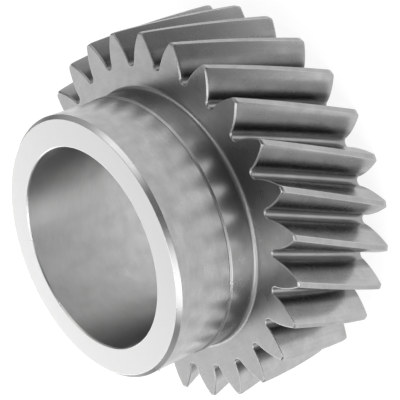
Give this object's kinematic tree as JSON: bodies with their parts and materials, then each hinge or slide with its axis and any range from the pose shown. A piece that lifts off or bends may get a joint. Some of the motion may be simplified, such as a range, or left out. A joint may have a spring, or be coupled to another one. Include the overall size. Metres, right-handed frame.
{
  "type": "helical gear wheel with hub",
  "caption": "Steel helical gear wheel with a right-hand helix, a long plain ground hub on one side and a plain through bore.",
  "frame": {"origin": "on the bore axis, in the plane of the toothed end face, which is the end it stands on", "axes": "+Z along the bore from the toothed end to the free end of the hub; +X through the middle of a tooth at the toothed end"},
  "size_m": [0.094, 0.094, 0.053],
  "materials": {
    "ground_steel": "ground and satin, bare steel"
  },
  "bodies": {
    "root": {"gear_wheel": "ground_steel"}
  },
  "joints": []
}
